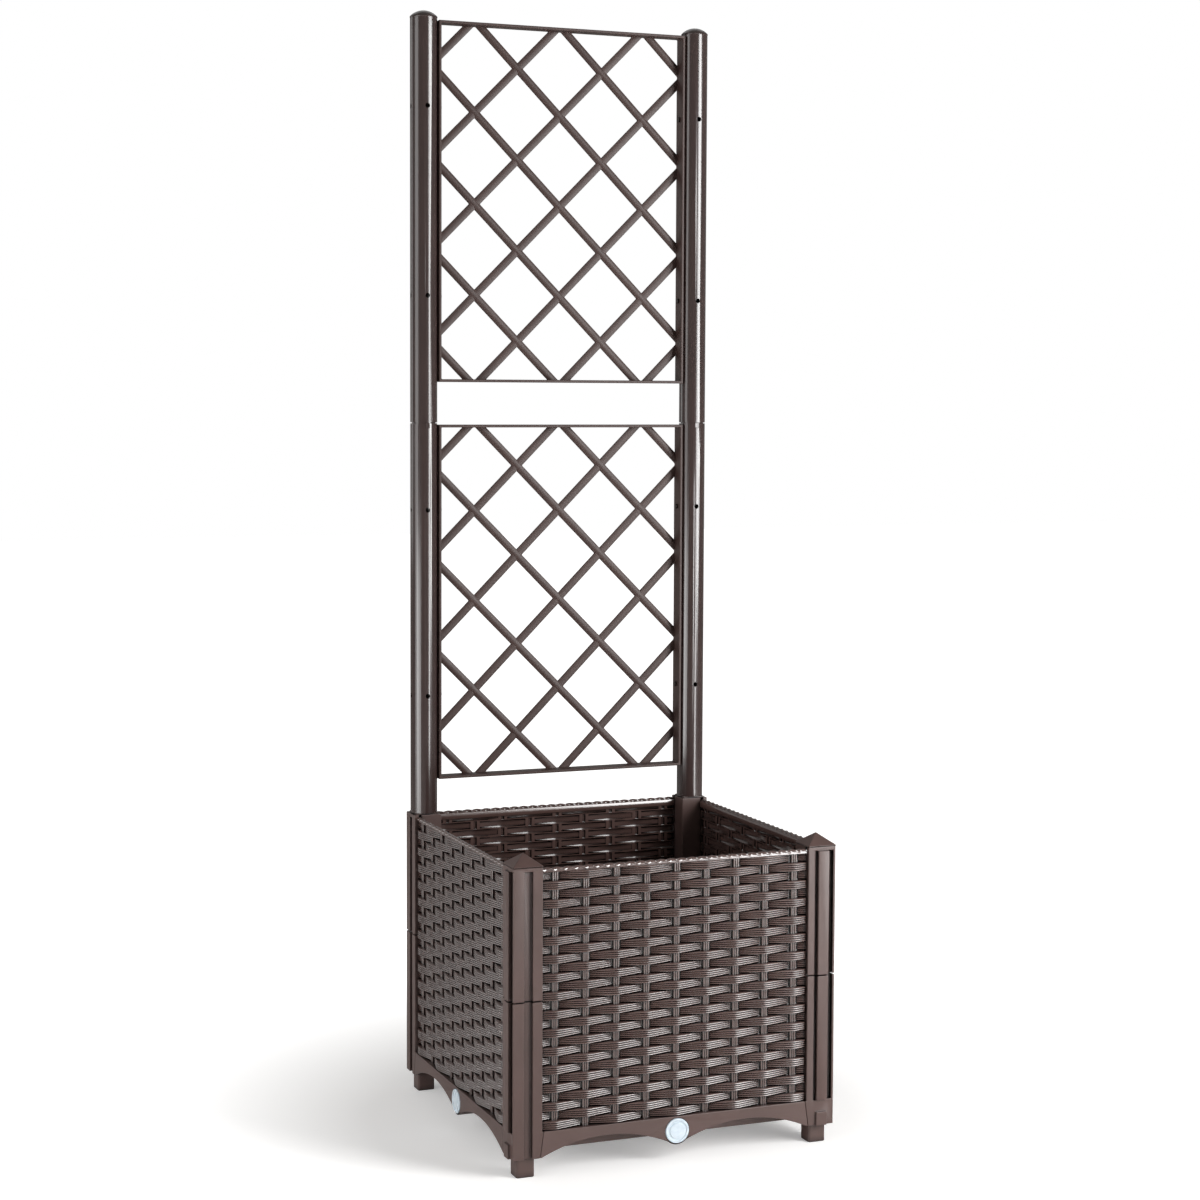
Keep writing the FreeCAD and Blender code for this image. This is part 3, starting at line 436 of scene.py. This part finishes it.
def slat_crowns(level):
    """Domed strips on all slats of one lattice, as one piece. A lean of 1 rises to the right, -1 falls."""
    low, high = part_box(level + "_trellis")
    half_width = high.x / MM - frame_plate
    middle = (low.z + high.z) / 2 / MM
    half_tall = (high.z - low.z) / 2 / MM - frame_plate
    front = high.y / MM - slat_thickness
    bm = bmesh.new()
    places = [1 - 2 * i / crown_strips for i in range(crown_strips + 1)]
    for lean, rise in ((1, 0.5), (-1, 1.0)):
        turn = Matrix.Rotation(math.radians(45 * lean), 3, "Y")
        for k in range(-slats_each_side, slats_each_side + 1):
            outline = [(crown_half_width * place, front - rise * (1 - place ** 2)) for place in places]
            outline += [(-crown_half_width, front + crown_sunk), (crown_half_width, front + crown_sunk)]
            verts = [bm.verts.new((x, y, -bar_reach)) for x, y in outline]
            end = bm.faces.new(verts)
            pulled = bmesh.ops.extrude_face_region(bm, geom=[end])
            moved = [g for g in pulled["geom"] if isinstance(g, bmesh.types.BMVert)]
            bmesh.ops.translate(bm, verts=moved, vec=(0, 0, 2 * bar_reach))
            bmesh.ops.rotate(bm, verts=verts + moved, cent=(0, 0, 0), matrix=turn)
            bmesh.ops.translate(bm, verts=verts + moved, vec=(slat_spacing * k, 0, middle))
    for sign in (-1, 1):
        for point, normal in (
                ((sign * half_width, 0, 0), (sign, 0, 0)), ((0, 0, middle + sign * half_tall), (0, 0, sign))):
            cut = bmesh.ops.bisect_plane(
                bm, geom=bm.verts[:] + bm.edges[:] + bm.faces[:], dist=1e-6, plane_co=point, plane_no=normal,
                clear_outer=True, clear_inner=False)
            open_ends = [g for g in cut["geom_cut"] if isinstance(g, bmesh.types.BMEdge)]
            bmesh.ops.holes_fill(bm, edges=open_ends, sides=0)
    bmesh.ops.recalc_face_normals(bm, faces=bm.faces)
    bmesh.ops.scale(bm, verts=bm.verts, vec=(MM, MM, MM))
    print(level, "slat crowns:", len(bm.faces), "faces")
    return finish_piece(level + "_trellis_slat_crowns", bm, lattice_finish, "planter", 40)


for level in ("lower", "upper"):
    slat_crowns(level)

# %% [markdown]
# ## The woven wall panels
# Each wall is one thin moulding that copies flat rattan: upright stakes, and bands that pass over one stake
# and under the next. A band's visible stretch, called a float here, is a low tent with its ridge over the
# hidden stake, four round ribs along it and a deep joint to the next row. The joint is dark from real shade
# and from the painted shade of the weave's finish. Seen from inside, the same shell shows the hollow of each
# tent, and the hollow back of each stake as a slot, darkened by real shade and by that painted shade. Only
# two tiles are needed, a float and a stake. They fill the wall like bricks, so each is modelled once and laid
# in rows.
# Both come from simple shapes: a small grid pulled into a tent, and a drawn outline pulled up.

# %% Sizes of the weave
panel_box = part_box("wall_panel_front")
inner_face = -panel_box[1].y / MM
weave_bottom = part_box("base_tray")[1].z / MM
weave_top = 350.0
rows = 28
row_height = (weave_top - weave_bottom) / rows
stake_pitch = 37.6
stake_count = 9
middle_stake = stake_count // 2
relief_end = 166.8
panel_end = 171.5
float_half = 31.7
float_half_height = 4.45
ridge_swell = 0.55
ridge_rise = 7.0
ridge_round = 4.0
shell = 1.7
hollow_margin = 0.9
foot_margin = 0.6
float_end = 2.4
stake_front = 4.2
web = 0.5
print("weave from", weave_bottom, "to", weave_top, "row", round(row_height, 3), "inner face", inner_face)

# %% One float
def tent(x):
    """How far the tent stands out at x, with a rounded ridge."""
    run = abs(x)
    slope = ridge_rise / float_half
    if run > ridge_round:
        return slope * (float_half - run)
    return slope * (float_half - ridge_round / 2 - run * run / (2 * ridge_round))


def half_height(x):
    """Half the height of the float at x: widest at the ridge."""
    return float_half_height + ridge_swell * (1 - abs(x) / (float_half + 0.1))


def pulled_grid(bm, across, upward, place):
    """A grid whose points are moved where place(column, line) says."""
    made = bmesh.ops.create_grid(bm, x_segments=across, y_segments=upward, size=1.0)
    for v in made["verts"]:
        v.co = place(round((v.co.x + 1) / 2 * across), round((v.co.y + 1) / 2 * upward))
    return made["verts"]


def skirt(bm, verts, place):
    """Pulls a wall from the open edge of a sheet down to the panel's inner face, and gives its rim."""
    sheet = set(verts)
    edges = [e for e in bm.edges if e.is_boundary and e.verts[0] in sheet]
    made = bmesh.ops.extrude_edge_only(bm, edges=edges)
    rim_verts = [g for g in made["geom"] if isinstance(g, bmesh.types.BMVert)]
    for v in rim_verts:
        v.co = place(v.co)
    rim = set(rim_verts)
    return [e for e in bm.edges if e.verts[0] in rim and e.verts[1] in rim and e.is_boundary]


outer_stations = [-float_half, -3.0, 3.0, float_half]
inner_stations = [-31.0, -3.0, 3.0, 31.0]
ribs = 4
rib_places = (0.0, 0.2, 0.52, 0.84)
rib_depths = (1.5, 0.42, 0.0, 0.42)


def ribbed(column, line):
    """The outside of the float. Each rib is a groove line, a shoulder, a round crown and a shoulder."""
    x = outer_stations[column]
    rib, step = divmod(line, 4)
    across = (rib + rib_places[step]) / ribs
    out = inner_face + float_end + tent(x) - rib_depths[step]
    return Vector((x, -out, (2 * across - 1) * half_height(x)))


def hollow(column, line):
    """The inside of the shell, a plain tent without ribs."""
    x = inner_stations[column]
    out = inner_face + float_end - shell + tent(x)
    return Vector((x, -out, (line * 2 - 1) * (half_height(x) - hollow_margin)))


def outer_foot(co):
    """Where the outer wall of the float meets the panel, as wide as the row."""
    share = co.z / half_height(co.x)
    return Vector((co.x, -inner_face, share * row_height / 2))


def inner_foot(co):
    """Where the wall of the hollow meets the panel."""
    return Vector((co.x, -inner_face, math.copysign(row_height / 2 - foot_margin, co.z)))


float_bm = bmesh.new()
outside = pulled_grid(float_bm, 3, 4 * ribs, ribbed)
skirt(float_bm, outside, outer_foot)
# The end walls are flat, so their many strips become one face and the foot keeps only its corners.
bmesh.ops.dissolve_limit(float_bm, angle_limit=math.radians(1), verts=float_bm.verts, edges=float_bm.edges)
outer_rim = [e for e in float_bm.edges if e.is_boundary]
inside = pulled_grid(float_bm, 3, 1, hollow)
inner_rim = skirt(float_bm, inside, inner_foot)
bmesh.ops.bridge_loops(float_bm, edges=outer_rim + inner_rim)
bmesh.ops.recalc_face_normals(float_bm, faces=float_bm.faces)
float_mesh = bpy.data.meshes.new("float_tile")
float_bm.to_mesh(float_mesh)
open_edges = sum(e.is_boundary for e in float_bm.edges)
float_bm.free()
print("float:", len(float_mesh.polygons), "faces,", open_edges, "open edges")

# %% One stake
# The outline is drawn once, seen from above: three ribs on the face, two feet, and the slot at the back.
face_out = inner_face + stake_front
foot = inner_face + web
right_half = [
    (0.0, face_out), (0.75, face_out - 0.28), (1.15, face_out - 1.5), (1.55, face_out - 0.28),
    (2.3, face_out), (3.1, face_out - 0.28), (3.5, face_out - 0.6), (3.5, foot), (5.9, foot),
    (5.9, inner_face), (2.2, inner_face), (2.2, face_out - 2.3),
]
left_half = [(-x, out) for x, out in reversed(right_half[1:])]
outline_points = right_half + left_half
stake_bm = bmesh.new()
outline_verts = [stake_bm.verts.new((x, -out, -row_height / 2)) for x, out in outline_points]
outline_face = stake_bm.faces.new(outline_verts)
pulled_up = bmesh.ops.extrude_face_region(stake_bm, geom=[outline_face])
top_verts = [g for g in pulled_up["geom"] if isinstance(g, bmesh.types.BMVert)]
bmesh.ops.translate(stake_bm, verts=top_verts, vec=(0, 0, row_height))
bmesh.ops.recalc_face_normals(stake_bm, faces=stake_bm.faces)
stake_mesh = bpy.data.meshes.new("stake_tile")
stake_bm.to_mesh(stake_mesh)
stake_bm.free()
print("stake:", len(stake_mesh.polygons), "faces")

# %% Lay two rows, trim them at the posts and repeat them
def lay(bm, tile, x, z):
    """Adds a copy of the tile with its middle at x and z."""
    known = len(bm.verts)
    bm.from_mesh(tile)
    bm.verts.ensure_lookup_table()
    bmesh.ops.translate(bm, verts=bm.verts[known:], vec=(x, 0, z))


weave_bm = bmesh.new()
for line in (0, 1):
    height = weave_bottom + row_height * (line + 0.5)
    for k in range(-1, stake_count + 1):
        x = stake_pitch * (k - middle_stake)
        if k % 2 == line:
            lay(weave_bm, float_mesh, x, height)
        elif 0 <= k < stake_count:
            lay(weave_bm, stake_mesh, x, height)
for end in (-1, 1):
    cut = bmesh.ops.bisect_plane(
        weave_bm, geom=weave_bm.verts[:] + weave_bm.edges[:] + weave_bm.faces[:], dist=1e-6,
        plane_co=(end * relief_end, 0, 0), plane_no=(end, 0, 0), clear_outer=True, clear_inner=False)
    cut_edges = [g for g in cut["geom_cut"] if isinstance(g, bmesh.types.BMEdge)]
    bmesh.ops.triangle_fill(weave_bm, use_beauty=True, use_dissolve=False, edges=cut_edges)
two_rows = weave_bm.verts[:] + weave_bm.edges[:] + weave_bm.faces[:]
for pair in range(1, rows // 2):
    copy = bmesh.ops.duplicate(weave_bm, geom=two_rows)
    copied = [g for g in copy["geom"] if isinstance(g, bmesh.types.BMVert)]
    bmesh.ops.translate(weave_bm, verts=copied, vec=(0, 0, 2 * row_height * pair))
print("weave:", len(weave_bm.faces), "faces")

# %% [markdown]
# ### The rim and the margins
# The top edge is moulded as a twisted cord on a smooth lip that hangs a little way down inside. A twisted
# cord is a two-lobed outline that turns while it moves along, which is exactly what the spin operator makes
# when it is given a step forward. The plain margins at both ends slide into the posts, and only a hint of
# them shows.

# %% The lip, the margins and the twisted cord
def bar(bm, outline, start, length):
    """A straight bar along X: the outline holds (out, up) pairs in mm."""
    verts = [bm.verts.new((start, -out, up)) for out, up in outline]
    face = bm.faces.new(verts)
    pulled = bmesh.ops.extrude_face_region(bm, geom=[face])
    moved = [g for g in pulled["geom"] if isinstance(g, bmesh.types.BMVert)]
    bmesh.ops.translate(bm, verts=moved, vec=(length, 0, 0))
    faces = set(f for v in verts for f in v.link_faces) | set(f for v in moved for f in v.link_faces)
    bmesh.ops.recalc_face_normals(bm, faces=list(faces))


rim_top = panel_box[1].z / MM
lip = [
    (inner_face + 5.6, weave_top - 0.4), (inner_face + 5.6, weave_top + 1.6),
    (inner_face + 5.0, weave_top + 2.2), (inner_face - 1.0, weave_top + 2.2),
    (inner_face - 1.8, weave_top + 1.4), (inner_face - 1.8, weave_top - 5.2),
    (inner_face - 1.4, weave_top - 5.8), (inner_face - 0.2, weave_top - 5.8),
    (inner_face - 0.2, weave_top - 0.4),
]
bar(weave_bm, lip, -relief_end, 2 * relief_end)
margin = [
    (inner_face, weave_bottom), (inner_face + 3.0, weave_bottom), (inner_face + 3.0, rim_top - 2),
    (inner_face, rim_top - 2),
]
margin_gap = 0.05
margin_width = panel_end - relief_end - margin_gap
bar(weave_bm, margin, -panel_end, margin_width)
bar(weave_bm, margin, relief_end + margin_gap, margin_width)

cord_lump = 12.4
cord_radius = 2.25
cord_lobe = 0.6
cord_out = inner_face + 3.4
cord_up = rim_top - 2.85
steps_per_lump = 6
lumps = int(2 * relief_end / cord_lump)
cord_bm = bmesh.new()
made = bmesh.ops.create_circle(cord_bm, cap_ends=False, segments=14, radius=1.0)
for v in made["verts"]:
    angle = math.atan2(v.co.y, v.co.x)
    reach = cord_radius + cord_lobe * math.cos(2 * angle)
    v.co = (-relief_end, -cord_out + reach * math.cos(angle), cord_up + reach * math.sin(angle))
bmesh.ops.spin(
    cord_bm, geom=cord_bm.verts[:] + cord_bm.edges[:], cent=(0, -cord_out, cord_up), axis=(1, 0, 0),
    dvec=(2 * relief_end / (lumps * steps_per_lump), 0, 0), angle=math.pi * lumps,
    steps=lumps * steps_per_lump, use_merge=False, use_normal_flip=False, use_duplicate=False)
bmesh.ops.holes_fill(cord_bm, edges=[e for e in cord_bm.edges if e.is_boundary], sides=0)
bmesh.ops.recalc_face_normals(cord_bm, faces=cord_bm.faces)
cord_mesh = bpy.data.meshes.new("rim_cord")
cord_bm.to_mesh(cord_mesh)
cord_bm.free()
weave_bm.from_mesh(cord_mesh)
bmesh.ops.scale(weave_bm, verts=weave_bm.verts, vec=(MM, MM, MM))
print("front panel:", len(weave_bm.faces), "faces, cord", len(cord_mesh.polygons))

# %% Four walls from one
quarter_turns = {"front": 0, "right": 1, "back": 2, "left": 3}
for side, turns in quarter_turns.items():
    wall_bm = weave_bm.copy()
    bmesh.ops.rotate(
        wall_bm, verts=wall_bm.verts, cent=(0, 0, 0), matrix=Matrix.Rotation(math.pi / 2 * turns, 3, "Z"))
    wall = finish_piece("woven_wall_" + side, wall_bm, weave_finish, "planter", 45)
    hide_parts("wall_panel_" + side)
    low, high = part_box("wall_panel_" + side)
    sizes = [[round(x / MM, 1) for x in size] for size in (wall.dimensions, high - low)]
    print(wall.name, "is", sizes[0], "and in CAD", sizes[1])
weave_bm.free()
for used_up in (float_mesh, stake_mesh, cord_mesh):
    bpy.data.meshes.remove(used_up)
